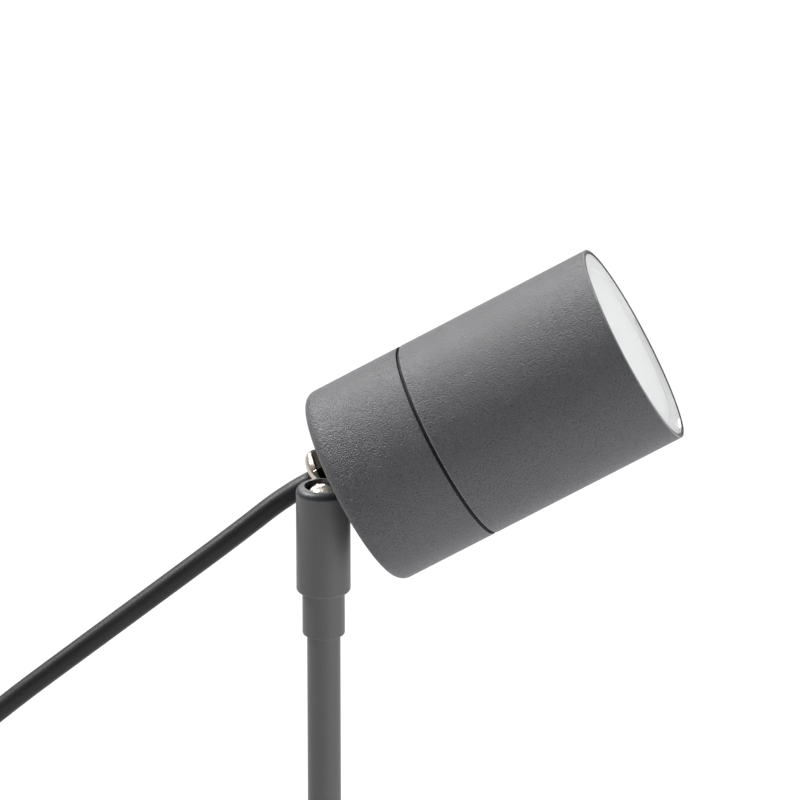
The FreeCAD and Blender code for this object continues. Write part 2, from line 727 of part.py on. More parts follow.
def make_wires():
    """The insulated cores from the cable to the terminals, the earth tag and the holder."""
    start = inner_floor + entry_inside
    over_nut = start + 5.6
    block_side = -block_aside + block_width / 2
    block_back = -block_aside - block_width / 2
    beside_nut = (block_side - nut_across / 2) / 2
    wires = []
    for x, aside in ((-block_way_spacing, -1.4), (0.0, 1.4)):
        core_x = gland_at.x + aside
        wires.append(tube([
            (core_x, gland_at.y, start),
            (core_x, gland_at.y, over_nut),
            ((core_x + x) / 2, 3.0, over_nut),
            (x, beside_nut, over_nut),
            (x, beside_nut, way_height),
            (x, block_side - 2.0, way_height),
        ], wire_dia))
    tag_x, tag_y = earth_at()
    crimp_at = tag_y - tag_tail
    wires.append(tube([
        (gland_at.x + 1.2, gland_at.y + 1.8, start),
        (gland_at.x + 1.2, gland_at.y + 1.8, over_nut),
        (gland_at.x + 8.4, gland_at.y - 9.0, over_nut),
        (tag_x, crimp_at - 7.0, over_nut - 3.0),
        (tag_x, crimp_at - 7.5, crimp_height),
        (tag_x, crimp_at + crimp_length - 1.0, crimp_height),
    ], wire_dia))
    nodes["cable_cores"] = separate(wires)
    leads = []
    for side in (-1, 1):
        x = side * block_way_spacing
        lead_x = side * lead_half_spacing
        leads.append(tube([
            (x, block_back + 2.0, way_height),
            (x, block_back - 3.0, way_height),
            (x * 0.8, block_back - 1.6, over_nut),
            (lead_x, -lead_aside, over_nut + 0.6),
            (lead_x, -lead_aside, holder_foot + wire_hole_depth * 0.5),
        ], wire_dia))
    nodes["holder_leads"] = separate(leads)


# ---- tubes along a route --------------------------------------------------------------------
def rounded_path(points):
    """Straight runs joined by tangent arcs, each as large as its two runs allow."""
    places = [Vector(*p) for p in points]
    edges = []
    radii = []
    at = places[0]
    for before, corner, after in zip(places, places[1:], places[2:]):
        inward = (corner - before).normalize()
        onward = (after - corner).normalize()
        half_turn = inward.getAngle(onward) / 2
        reach = 0.45 * min((corner - before).Length, (after - corner).Length)
        radii.append(reach / math.tan(half_turn))
        first = corner - inward * reach
        last = corner + onward * reach
        towards = (onward - inward).normalize()
        sag = radii[-1] * (1 / math.cos(half_turn) - 1)
        edges.append(Part.LineSegment(at, first).toShape())
        edges.append(Part.Arc(first, corner + towards * sag, last).toShape())
        at = last
    edges.append(Part.LineSegment(at, places[-1]).toShape())
    return Part.Wire(edges), radii


def tube(points, diameter):
    """A round tube along a rounded path."""
    path, radii = rounded_path(points)
    start = Vector(*points[0])
    along = Vector(*points[1]) - start
    profile = Part.Wire(Part.makeCircle(diameter / 2, start, along))
    solid = path.makePipeShell([profile], True, False)
    ratio = solid.Volume / (math.pi * diameter ** 2 / 4 * path.Length)
    print("tube length %.1f, least radius %.1f, volume ratio %.4f"
          % (path.Length, min(radii), ratio))
    return solid


def arc_middle(start, way, end):
    """The middle of the arc that leaves its start along a direction and ends at a point."""
    chord = end - start
    along = Vector(chord).normalize()
    side = (way - along * way.dot(along)).normalize()
    sag = chord.Length / 2 * math.tan(along.getAngle(way) / 2)
    return (start + end) * 0.5 + side * sag


def biarc(start, start_way, end, end_way):
    """Two arcs that meet smoothly and join two points with given directions."""
    chord = end - start
    a = 2 * (1 - start_way.dot(end_way))
    b = 2 * chord.dot(start_way + end_way)
    reach = (math.sqrt(b * b + 4 * a * chord.dot(chord)) - b) / (2 * a)
    joint = (start + end + (start_way - end_way) * reach) * 0.5
    first = Part.Arc(start, arc_middle(start, start_way, joint), joint)
    second = Part.Arc(joint, arc_middle(end, end_way * -1, joint), end)
    return [first.toShape(), second.toShape()]


def coil_point(turn):
    """The coil's centre line after a number of turns, from its outside start."""
    climb = 0.5
    top = coil_turns_in + climb
    outer = coil_inner_radius + coil_pitch * coil_turns_in
    if turn <= coil_turns_in:
        radius, rise = outer - coil_pitch * turn, 0.0
    elif turn < top:
        into = turn - coil_turns_in
        radius = coil_inner_radius - coil_pitch * min(into, climb - into)
        rise = (1 - math.cos(math.pi * into / climb)) / 2
    else:
        radius, rise = coil_inner_radius + coil_pitch * (turn - top), 1.0
    angle = math.radians(coil_start) + 2 * math.pi * turn
    x = coil_centre[0] + radius * math.cos(angle)
    y = coil_centre[1] + radius * math.sin(angle)
    return Vector(x, y, cable_radius + coil_rise * rise)


def round_the_coil(turn):
    """The level direction that is square to the coil's radius after a number of turns."""
    angle = math.radians(coil_start) + 2 * math.pi * turn
    return Vector(-math.sin(angle), math.cos(angle), 0)


def make_cable():
    """The cable's lead out of the gland, its run to the ground, its coil and its tail."""
    gland_mouth = head_place.multVec(gland_at + UP * gland_end)
    first_bend = head_place.multVec(gland_at + UP * (gland_end - lead_start))
    lead = [tuple(gland_mouth), tuple(first_bend)] + lead_points
    nodes["cable_lead"] = tube(lead, cable_dia)
    turns = coil_turns_in + 0.5 + coil_turns_out
    quarter_turns = round(turns * 4)
    knots = [coil_point(i / 4) for i in range(quarter_turns + 1)]
    ways = []
    for i in range(quarter_turns + 1):
        low = max(0.0, i / 4 - 0.002)
        high = min(turns, i / 4 + 0.002)
        ways.append((coil_point(high) - coil_point(low)).normalize())
    ways[0] = round_the_coil(0)
    ways[-1] = round_the_coil(turns)
    begin = knots[0] - ways[0] * cable_dia
    finish = knots[-1] + ways[-1] * cable_dia
    edges = [Part.LineSegment(begin, knots[0]).toShape()]
    for i in range(quarter_turns):
        edges += biarc(knots[i], ways[i], knots[i + 1], ways[i + 1])
    edges.append(Part.LineSegment(knots[-1], finish).toShape())
    path = Part.Wire(edges)
    profile = Part.Wire(Part.makeCircle(cable_radius, begin, ways[0]))
    coil = path.makePipeShell([profile], True, False)
    nodes["cable_coil"] = coil
    ratio = coil.Volume / (math.pi * cable_radius ** 2 * path.Length)
    print("coil length %.1f, volume ratio %.4f, least gap to itself %.2f"
          % (path.Length, ratio, least_gap(turns)))
    landing = begin - ways[0] * ground_run
    leaving = finish + ways[-1] * tail_run
    nodes["cable_run"] = tube([lead_points[-1]] + run_points + [tuple(landing), tuple(begin)],
                              cable_dia)
    nodes["cable_tail"] = tube([tuple(finish), tuple(leaving)] + tail_points + [plug_entry],
                               cable_dia)


def least_gap(turns):
    """The least gap between two stretches of the coil that are over a third of a turn apart."""
    per_turn = 60
    places = [coil_point(i / per_turn) for i in range(int(turns * per_turn) + 1)]
    least = 1e9
    for i, here in enumerate(places):
        for there in places[i + per_turn // 3:]:
            least = min(least, here.distanceToPoint(there))
    return least - cable_dia


# ---- plug -----------------------------------------------------------------------------------
def make_plug():
    """The moulded rubber plug: ribbed relief, grip, face, pins and side earth clips."""
    relief = Part.makeCone(plug_relief_dia / 2, plug_grip_dia / 2 - 3, plug_relief_length,
                           Vector(0, 0, 0), UP)
    rib_pitch = plug_relief_length / (plug_rib_count + 1)
    for i in range(plug_rib_count):
        low = rib_pitch * (i + 0.7)
        relief = relief.cut(ring(plug_grip_dia, plug_relief_dia / 2 - 0.6 + i * 0.8,
                                 low, low + rib_pitch * 0.4))
    end = plug_relief_length + plug_length
    grip_end = plug_relief_length + plug_length * 0.45
    flare_end = plug_relief_length + plug_length * 0.65
    body = turned([
        (0, plug_relief_length - 0.5),
        (plug_grip_dia / 2 - 1.5, plug_relief_length - 0.5),
        (plug_grip_dia / 2, plug_relief_length + 2.5),
        (plug_grip_dia / 2 - 1.2, grip_end),
        (plug_dia / 2, flare_end),
        (plug_dia / 2, end),
        (0, end),
    ])
    body = body.makeFillet(1.2, rims(body, plug_dia / 2, end))
    flat_at = plug_dia / 2 - 1.6
    for side in (-1, 1):
        low_y = flat_at if side > 0 else -flat_at - plug_dia
        body = body.cut(block((plug_clip_width * 2, plug_dia, plug_clip_length + 1),
                              (-plug_clip_width, low_y, end - plug_clip_length)))
    body = joined([relief, body])
    clips = []
    for side in (-1, 1):
        low_y = flat_at if side > 0 else -flat_at - plug_clip_thick
        clips.append(block((plug_clip_width, plug_clip_thick, plug_clip_length - 1),
                           (-plug_clip_width / 2, low_y, end - plug_clip_length + 0.5)))
    pins = []
    for side in (-1, 1):
        pin = cylinder(plug_pin_dia / 2, end, end + plug_pin_length, side * plug_pin_spacing / 2)
        tip = rims(pin, plug_pin_dia / 2, end + plug_pin_length)
        pins.append(pin.makeFillet(plug_pin_dia * 0.4, tip))
    lying = Rotation(Vector(0, 1, 0), 90).multiply(Rotation(UP, plug_roll))
    place = Placement(Vector(*plug_entry), lying)
    for name, shape in (("plug_body", body), ("plug_clips", separate(clips)),
                        ("plug_pins", separate(pins))):
        shape.Placement = place
        nodes[name] = shape


# ---- assembly -------------------------------------------------------------------------------
def place_head():
    """Tilt the head's pieces into the rest pose on the stem."""
    for name in list(nodes):
        nodes[name].Placement = head_place.multiply(nodes[name].Placement)


def main():
    make_ball_stud()
    make_rear_cap()
    make_barrel()
    make_glass()
    make_lamp_ring()
    make_lamp()
    make_holder()
    make_gland()
    make_terminals()
    make_wires()
    place_head()
    make_spike()
    make_rod()
    make_sleeve()
    make_seat()
    make_collar()
    make_cable()
    make_plug()
    os.makedirs("parts", exist_ok=True)
    for name, shape in nodes.items():
        shape.exportStep("parts/%s.step" % name)
        state = "valid" if shape.isValid() else "NOT VALID"
        print("%-18s %2d solids %10.1f mm3 %s" % (name, len(shape.Solids), shape.Volume, state))


main()
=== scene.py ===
"""Looks of a garden spike spotlight, laid out as an add-on and run as a script.

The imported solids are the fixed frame. The script gives every solid its finish, draws the
cable and the pale ring behind the glass anew, and sets up the studio. Lengths are in metres.
"""

import json
import math

import bpy
import numpy as np
from mathutils import Matrix, Vector


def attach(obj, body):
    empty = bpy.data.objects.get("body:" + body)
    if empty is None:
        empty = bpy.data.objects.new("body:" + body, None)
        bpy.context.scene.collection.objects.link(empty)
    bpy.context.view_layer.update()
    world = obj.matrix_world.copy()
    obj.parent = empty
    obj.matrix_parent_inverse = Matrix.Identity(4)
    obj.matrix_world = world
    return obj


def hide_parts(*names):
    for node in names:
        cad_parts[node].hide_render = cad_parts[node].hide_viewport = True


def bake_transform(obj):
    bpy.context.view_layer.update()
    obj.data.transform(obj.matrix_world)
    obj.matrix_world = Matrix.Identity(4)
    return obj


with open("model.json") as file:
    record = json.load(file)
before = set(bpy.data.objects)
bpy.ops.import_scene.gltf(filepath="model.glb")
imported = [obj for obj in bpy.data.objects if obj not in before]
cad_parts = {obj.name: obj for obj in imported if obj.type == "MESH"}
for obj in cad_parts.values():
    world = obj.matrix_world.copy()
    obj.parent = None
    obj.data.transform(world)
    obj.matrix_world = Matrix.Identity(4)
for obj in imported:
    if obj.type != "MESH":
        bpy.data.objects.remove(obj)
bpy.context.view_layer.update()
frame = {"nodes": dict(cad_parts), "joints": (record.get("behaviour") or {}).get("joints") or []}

bl_info = {
    "name": "Garden Spike Spotlight",
    "version": (1, 0, 0),
    "blender": (4, 5, 0),
    "location": "View3D > Sidebar > Spotlight",
    "description": "Finishes, cable and studio for a garden spike spotlight",
    "category": "Object",
}

PIVOT = np.array(next(joint["pos_m"] for joint in frame["joints"]
                      if joint["name"] == "head_tilt"))

# The head at rest. Its axis leans from the vertical, and places along it are counted from the
# middle of the mouth outwards, so those inside the head are negative.
HEAD_LEAN = math.radians(61.0)
HEAD_AXIS = np.array([math.sin(HEAD_LEAN), 0.0, math.cos(HEAD_LEAN)])
PIVOT_TO_MOUTH = 0.1048
MOUTH_CENTRE = tuple(PIVOT + PIVOT_TO_MOUTH * HEAD_AXIS)
HEAD_RADIUS = 0.031
HEAD_BACK = -0.095

# Edges of what a finish paints over. Each is the stretch over which the paint comes in, from
# its first place to its second.
# Over the head's coat, the rim and the groove's front edge get painted highlights, and the rim's
# inner wall and the groove painted shade.
RIM_ALONG = (-0.0004, -0.0002)
RIM_RADIUS = (HEAD_RADIUS - 0.00025, HEAD_RADIUS - 0.00010)
RECESS_SHADE_AND_SEAL_ALONG = (-0.0030, -0.0025)
RECESS_SHADE_AND_SEAL_RADIUS = (HEAD_RADIUS - 0.00060, HEAD_RADIUS - 0.00068)
GROOVE_BACK = (-0.06318, -0.06308)
GROOVE_FRONT = (-0.06200, -0.06210)
GROOVE_RADIUS = (HEAD_RADIUS - 0.00012, HEAD_RADIUS - 0.00022)
GROOVE_EDGE_BACK = (-0.06208, -0.06200)
GROOVE_EDGE_FRONT = (-0.06178, -0.06186)
# On the gland, a painted reflection of the dark head and painted shade.
GLAND_SHADE_ALONG = (HEAD_BACK - 0.0091, HEAD_BACK - 0.0083)
SHOULDER_HEIGHT = (0.2436, 0.2438)

# The cable's route: from the gland's mouth towards the coil, and on to the plug.
GLAND_MOUTH = (-0.002738, 0.017, 0.241226)
LEAD_AND_RUN = [
    GLAND_MOUTH,
    (-0.011134, 0.017, 0.236572),
    (-0.026, 0.017, 0.224),
    (-0.060, 0.017, 0.19724),
    (-0.108, 0.017, 0.159461),
    (-0.1326, 0.0178, 0.1323),
    (-0.1549, 0.020, 0.098),
    (-0.1715, 0.0235, 0.0604),
    (-0.1835, 0.0206, 0.0288),
    (-0.1871, 0.0095, 0.0126),
]
TO_PLUG = [
    (-0.0745, -0.0544, 0.0188),
    (-0.054, -0.0544, 0.0188),
]

# The coil's middle, the bearing of its first point, and the part of a turn in which it climbs
# from its lower layer to its upper one.
COIL_CENTRE = (-0.132, -0.021)
COIL_START = math.radians(195.0)
COIL_CLIMB_TURNS = 0.5
COIL_POINTS_PER_TURN = 24

UPRIGHT = np.array([0.0, 0.0, 1.0])
LIGHTS_AIM = (0.02, 0.0, 0.25)


# ---- sizes and colours ------------------------------------------------------------------
class SpotlightSizes(bpy.types.PropertyGroup):
    """Sizes of what this script draws itself."""

    cable_diameter: bpy.props.FloatProperty(
        name="Cable diameter", description="Outside of the rubber sheath",
        default=0.0064, min=0.004, max=0.012, unit="LENGTH")
    cable_length: bpy.props.FloatProperty(
        name="Cable length", description="From the gland's mouth to the plug",
        default=1.88, min=0.3, max=10.0, unit="LENGTH")
    coil_outer_radius: bpy.props.FloatProperty(
        name="Coil outer radius", description="Centre line of the coil's outermost turn",
        default=0.049, min=0.03, max=0.2, unit="LENGTH")
    coil_pitch: bpy.props.FloatProperty(
        name="Coil pitch", description="From one turn of the coil to the next",
        default=0.007, min=0.004, max=0.02, unit="LENGTH")
    turns_in: bpy.props.FloatProperty(
        name="Turns inwards", description="Turns in the coil's lower layer",
        default=3.0, min=1.0, max=8.0)
    turns_out: bpy.props.FloatProperty(
        name="Turns outwards", description="Turns in the coil's upper layer",
        default=2.75, min=1.0, max=8.0)
    ground_run: bpy.props.FloatProperty(
        name="Straight run", description="Straight stretch before and after the coil",
        default=0.020, min=0.0, max=0.1, unit="LENGTH")
    coil_rise: bpy.props.FloatProperty(
        name="Coil rise", description="From the lower layer of the coil to the upper one",
        default=0.00695, min=0.004, max=0.02, unit="LENGTH")
    grain_size: bpy.props.FloatProperty(
        name="Grain size", description="Width of one lump of the head's textured powder coat",
        default=0.00038, min=0.0002, max=0.003, precision=5, unit="LENGTH")


class SpotlightColours(bpy.types.PropertyGroup):
    """Base colours of the finishes that show most."""

    head_coat: bpy.props.FloatVectorProperty(
        name="Head coat", description="Anthracite powder coat of the lamp head",
        default=(0.0365, 0.0365, 0.040), size=3, min=0.0, max=1.0, subtype="COLOR")
    stem_coat: bpy.props.FloatVectorProperty(
        name="Stem coat", description="Smoother grey coat of collar, sleeve and rod",
        default=(0.0455, 0.0455, 0.048), size=3, min=0.0, max=1.0, subtype="COLOR")
    nickel: bpy.props.FloatVectorProperty(
        name="Nickel", description="Warm polished nickel plate",
        default=(0.62, 0.57, 0.49), size=3, min=0.0, max=1.0, subtype="COLOR")
    cable: bpy.props.FloatVectorProperty(
        name="Cable", description="Black-grey rubber sheath",
        default=(0.009, 0.009, 0.010), size=3, min=0.0, max=1.0, subtype="COLOR")
    lamp_disc: bpy.props.FloatVectorProperty(
        name="Lamp disc", description="Frosted disc of the lamp",
        default=(0.69, 0.69, 0.695), size=3, min=0.0, max=1.0, subtype="COLOR")
    lamp_ring: bpy.props.FloatVectorProperty(
        name="Lamp ring", description="Pale ring round the lamp",
        default=(0.50, 0.50, 0.505), size=3, min=0.0, max=1.0, subtype="COLOR")
    spike: bpy.props.FloatVectorProperty(
        name="Spike", description="Moulded black plastic of the ground spike",
        default=(0.022, 0.022, 0.024), size=3, min=0.0, max=1.0, subtype="COLOR")


class SpotlightStudio(bpy.types.PropertyGroup):
    """Camera and light of the studio."""

    focal_length: bpy.props.FloatProperty(
        name="Focal length", description="Lens of the camera for a 36 mm sensor",
        default=292.5, min=20.0, max=500.0, subtype="DISTANCE_CAMERA")
    distance: bpy.props.FloatProperty(
        name="Distance", description="From the camera to the ball, along the view",
        default=1.92842, min=0.3, max=10.0, unit="LENGTH")
    pitch: bpy.props.FloatProperty(
        name="Pitch", description="How far the camera looks down",
        default=math.radians(20.116), min=0.0, max=1.5, subtype="ANGLE")
    heading: bpy.props.FloatProperty(
        name="Heading", description="How far the camera is turned about the vertical",
        default=math.radians(0.447), min=-3.2, max=3.2, subtype="ANGLE")
    ball_right: bpy.props.FloatProperty(
        name="Ball to the right", description="Place of the ball to the right of the view's middle",
        default=-0.02279, min=-1.0, max=1.0, precision=5, unit="LENGTH")
    ball_up: bpy.props.FloatProperty(
        name="Ball above", description="Place of the ball above the view's middle",
        default=-0.030806, min=-1.0, max=1.0, precision=5, unit="LENGTH")
    key_power: bpy.props.FloatProperty(
        name="Key light", description="Large soft light above and to the left",
        default=30.0, min=0.0, max=500.0, unit="POWER")
    rim_power: bpy.props.FloatProperty(
        name="Rim light", description="Strip light behind and above",
        default=6.0, min=0.0, max=500.0, unit="POWER")
    fill_power: bpy.props.FloatProperty(
        name="Fill light", description="Soft light low on the right",
        default=14.0, min=0.0, max=500.0, unit="POWER")
    mouth_power: bpy.props.FloatProperty(
        name="Mouth light", description="Soft light in line with the head, which fills its mouth",
        default=1.5, min=0.0, max=500.0, unit="POWER")
    room_level: bpy.props.FloatProperty(
        name="Room level", description="Even light of the white room",
        default=0.50, min=0.0, max=2.0)
    front_level: bpy.props.FloatProperty(
        name="Front level", description="Share of the room's light on the camera's side",
        default=0.15, min=0.0, max=1.0, subtype="FACTOR")
    skyline_level: bpy.props.FloatProperty(
        name="Skyline level", description="Share of the room's light low down, next to the floor",
        default=0.3, min=0.0, max=1.0, subtype="FACTOR")
    floor_level: bpy.props.FloatProperty(
        name="Floor level", description="Light that the white floor sends back up",
        default=2.2, min=0.0, max=3.0)
    floor_gloss: bpy.props.FloatProperty(
        name="Floor in gloss", description="How bright metal and glass show the floor",
        default=0.9, min=0.0, max=2.0)
    floor_veil: bpy.props.FloatProperty(
        name="Floor veil", description="How much of the floor's own shade the camera sees",
        default=0.07, min=0.0, max=1.0, subtype="FACTOR")


def sizes():
    """The sizes that are set in this scene."""
    return bpy.context.scene.spotlight_sizes


def colours():
    """The colours that are set in this scene."""
    return bpy.context.scene.spotlight_colours


def studio():
    """The camera and the light that are set in this scene."""
    return bpy.context.scene.spotlight_studio


# ---- shader building --------------------------------------------------------------------
def feed(tree, value, socket):
    """Links a socket into another one, or sets a plain value there."""
    if isinstance(value, bpy.types.NodeSocket):
        tree.links.new(value, socket)
    else:
        socket.default_value = value


def shader_node(tree, kind, inputs=None, **settings):
    """A node of that kind with its settings, its inputs fed by name or by number."""
    node = tree.nodes.new(kind)
    for name, value in settings.items():
        setattr(node, name, value)
    for name, value in (inputs or {}).items():
        feed(tree, value, node.inputs[name])
    return node


def math_of(tree, operation, *values):
    """What that operation makes of two or three values."""
    return shader_node(tree, "ShaderNodeMath", dict(enumerate(values)),
                       operation=operation).outputs[0]


def spread(tree, value, low, high, to_low=0.0, to_high=1.0):
    """The value moved from low..high to to_low..to_high and kept within them."""
    return shader_node(tree, "ShaderNodeMapRange",
                       {"Value": value, "From Min": low, "From Max": high,
                        "To Min": to_low, "To Max": to_high}).outputs[0]


def between(tree, share, first, second):
    """The colour that share of the way from the first to the second. The Mix node's sockets
    go by number, because its kinds of value share their names."""
    return shader_node(tree, "ShaderNodeMix", {0: share, 6: first, 7: second},
                       data_type="RGBA").outputs[2]


def noise(tree, place, scale, detail, roughness=0.5):
    """Soft noise from 0 to 1, with about that many lumps to the metre."""
    return shader_node(tree, "ShaderNodeTexNoise",
                       {"Vector": place, "Scale": scale, "Detail": detail,
                        "Roughness": roughness}).outputs["Fac"]


def object_place(tree):
    """Where each point of the piece is, in the frame's own coordinates."""
    return shader_node(tree, "ShaderNodeTexCoord").outputs["Object"]


def zone(tree, *edges):
    """A mask that is 1 within all the edges: the product of their ramps, each of a value over
    the stretch in which it comes in."""
    ramps = [spread(tree, value, *stretch) for value, stretch in edges]
    mask = ramps[0]
    for ramp in ramps[1:]:
        mask = math_of(tree, "MULTIPLY", mask, ramp)
    return mask


# ---- shared patterns --------------------------------------------------------------------
def new_group(name, inputs, outputs):
    """A shader node group with those sockets, each a name, a kind and, for an input, a
    default: the group, what it is given and what it gives out."""
    group = bpy.data.node_groups.new(name, "ShaderNodeTree")
    for label, kind, default in inputs:
        socket = group.interface.new_socket(label, in_out="INPUT",
                                            socket_type="NodeSocket" + kind)
        if default is not None:
            socket.default_value = default
    for label, kind in outputs:
        group.interface.new_socket(label, in_out="OUTPUT", socket_type="NodeSocket" + kind)
    given = group.nodes.new("NodeGroupInput").outputs
    out = group.nodes.new("NodeGroupOutput").inputs
    return group, given, out


def new_grain_group(name):
    """A group for a grain: its place, width, roughnesses and colours come in, and its height,
    roughness and colour go out."""
    return new_group(
        name,
        [("Vector", "Vector", None), ("Width", "Float", 0.0005),
         ("Low roughness", "Float", 0.4), ("High roughness", "Float", 0.5),
         ("Dark", "Color", None), ("Light", "Color", None)],
        [("Height", "Float"), ("Roughness", "Float"), ("Color", "Color")])


def use_group(tree, name, **inputs):
    """The outputs of one use of a shared group; underscores in its inputs' names are spaces."""
    node = tree.nodes.new("ShaderNodeGroup")
    node.node_tree = bpy.data.node_groups[name]
    for label, value in inputs.items():
        feed(tree, value, node.inputs[label.replace("_", " ")])
    return node.outputs


def make_coat_grain():
    """Lumps of a textured coat: fine noise less the distance to the nearest cell's middle.
    Broad patches shift its colour and its gloss."""
    group, given, out = new_grain_group("Coat grain")
    place = given["Vector"]
    scale = math_of(group, "DIVIDE", 1.0, given["Width"])
    lumps = noise(group, place, scale, detail=2.0, roughness=0.55)
    cells = shader_node(group, "ShaderNodeTexVoronoi", {"Vector": place, "Scale": scale},
                        feature="SMOOTH_F1").outputs["Distance"]
    lowest, highest = -0.35, 0.45
    height = spread(group, math_of(group, "SUBTRACT", lumps, cells), lowest, highest)
    patches = noise(group, place, scale=45.0, detail=3.0)
    shade = math_of(group, "MULTIPLY_ADD", patches, 0.35, height)
    roughness = spread(group, shade, 0.1, 1.1, given["High roughness"], given["Low roughness"])
    colour = between(group, spread(group, shade, 0.2, 1.0), given["Dark"], given["Light"])
    group.links.new(height, out["Height"])
    group.links.new(roughness, out["Roughness"])
    group.links.new(colour, out["Color"])


def make_moulded_grain():
    """Soft unevenness of moulded rubber and plastic: two widths of noise added."""
    group, given, out = new_grain_group("Moulded grain")
    place = given["Vector"]
    scale = math_of(group, "DIVIDE", 1.0, given["Width"])
    fine = noise(group, place, scale, detail=3.0)
    broad = noise(group, place, scale=90.0, detail=2.0)
    both = math_of(group, "ADD", fine, broad)
    low, high = 0.7, 1.3
    roughness = spread(group, both, low, high, given["Low roughness"], given["High roughness"])
    colour = between(group, spread(group, both, low, high), given["Dark"], given["Light"])
    group.links.new(fine, out["Height"])
    group.links.new(roughness, out["Roughness"])
    group.links.new(colour, out["Color"])


def make_fine_scratches():
    """Hairline marks of handled metal: noise stretched fiftyfold along two directions, and a
    faint cloud between the marks."""
    group, given, out = new_grain_group("Fine scratches")
    place = given["Vector"]
    scale = math_of(group, "DIVIDE", 1.0, given["Width"])
    stretch = (1.0, 0.02, 1.0)
    hairs = []
    for turn in ((0.3, 0.7, 0.2), (1.1, -0.4, 0.9)):
        stretched = shader_node(group, "ShaderNodeMapping",
                                {"Vector": place, "Rotation": turn,
                                 "Scale": stretch}).outputs[0]
        hairs.append(spread(group, noise(group, stretched, scale, detail=1.0), 0.60, 0.75))
    marks = math_of(group, "MAXIMUM", *hairs)
    cloud = spread(group, noise(group, place, scale=160.0, detail=3.0), 0.35, 0.75, 0.0, 0.4)
    shade = math_of(group, "MULTIPLY_ADD", marks, 0.6, cloud)
    roughness = spread(group, shade, 0.0, 1.0, given["Low roughness"], given["High roughness"])
    group.links.new(marks, out["Height"])
    group.links.new(roughness, out["Roughness"])
    group.links.new(between(group, shade, given["Light"], given["Dark"]), out["Color"])


def make_settled_dust():
    """Pale dust on what faces up: the normal's height times broken noise, over a colour."""
    group, given, out = new_group(
        "Settled dust",
        [("Vector", "Vector", None), ("Amount", "Float", 0.1), ("Color", "Color", None),
         ("Dust", "Color", (0.35, 0.34, 0.32, 1.0))],
        [("Color", "Color")])
    normal = shader_node(group, "ShaderNodeTexCoord").outputs["Normal"]
    facing = shader_node(group, "ShaderNodeSeparateXYZ", {0: normal}).outputs["Z"]
    specks = noise(group, given["Vector"], scale=900.0, detail=4.0, roughness=0.7)
    mask = math_of(group, "MULTIPLY", spread(group, facing, 0.1, 1.0),
                   spread(group, specks, 0.45, 0.8))
    mask = math_of(group, "MULTIPLY", mask, given["Amount"])
    group.links.new(between(group, mask, given["Color"], given["Dust"]), out["Color"])


def make_head_place():
    """Where a point of the head is: its way along the head's axis, counted from the mouth
    outwards, and its distance from that axis."""
    group, given, out = new_group("Head place", [("Vector", "Vector", None)],
                                  [("Along", "Float"), ("Radius", "Float")])
    turned = shader_node(group, "ShaderNodeMapping",
                         {"Vector": given["Vector"], "Location": MOUTH_CENTRE,
                          "Rotation": (0.0, HEAD_LEAN, 0.0)}, vector_type="TEXTURE").outputs[0]
    parts = shader_node(group, "ShaderNodeSeparateXYZ", {0: turned}).outputs
    across = shader_node(group, "ShaderNodeCombineXYZ", {0: parts["X"], 1: parts["Y"]}).outputs[0]
    radius = shader_node(group, "ShaderNodeVectorMath", {0: across}, operation="LENGTH")
    group.links.new(parts["Z"], out["Along"])
    group.links.new(radius.outputs["Value"], out["Radius"])


# ---- finishes ---------------------------------------------------------------------------
def new_finish(name):
    """A material with its node tree and its Principled shader."""
    finish = bpy.data.materials.new(name)
    finish.use_nodes = True
    tree = finish.node_tree
    return finish, tree, tree.nodes["Principled BSDF"]


def shades(colour, depth):
    """A darker and a lighter colour, that share below and above the given one."""
    given = np.array(list(colour)[:3])
    return (*(given * (1 - depth)), 1.0), (*np.minimum(given * (1 + depth), 1.0), 1.0)


def grained_finish(name, pattern, colour, *, width, roughness, bump, depth=0.12, metal=0.0,
                   dust=0.0, specular=0.5):
    """A finish whose colour, roughness and relief come from one of the grain groups. Width is
    that of a grain, bump its height, depth how far its colours part, dust how much lies on it."""
    finish, tree, shader = new_finish(name)
    place = object_place(tree)
    dark, light = shades(colour, depth)
    low, high = roughness
    grain = use_group(tree, pattern, Vector=place, Width=width, Low_roughness=low,
                      High_roughness=high, Dark=dark, Light=light)
    tint = grain["Color"]
    if dust:
        tint = use_group(tree, "Settled dust", Vector=place, Amount=dust, Color=tint)["Color"]
    relief = shader_node(tree, "ShaderNodeBump", {"Height": grain["Height"], "Distance": bump,
                                                  "Strength": 1.0}).outputs[0]
    tree.links.new(tint, shader.inputs["Base Color"])
    tree.links.new(grain["Roughness"], shader.inputs["Roughness"])
    tree.links.new(relief, shader.inputs["Normal"])
    shader.inputs["Metallic"].default_value = metal
    shader.inputs["Specular IOR Level"].default_value = specular
    return finish


def over(finish, mask, colour, roughness):
    """Lays another colour and roughness over a finish where the mask is 1."""
    tree = finish.node_tree
    inputs = tree.nodes["Principled BSDF"].inputs
    tint = between(tree, mask, inputs["Base Color"].links[0].from_socket, (*colour, 1.0))
    tree.links.new(tint, inputs["Base Color"])
    dull = shader_node(tree, "ShaderNodeMix",
                       {0: mask, 2: inputs["Roughness"].links[0].from_socket, 3: roughness},
                       data_type="FLOAT").outputs[0]
    tree.links.new(dull, inputs["Roughness"])


def head_place(tree):
    """The way along the head's axis and the distance from it, in a finish."""
    place = use_group(tree, "Head place", Vector=object_place(tree))
    return place["Along"], place["Radius"]


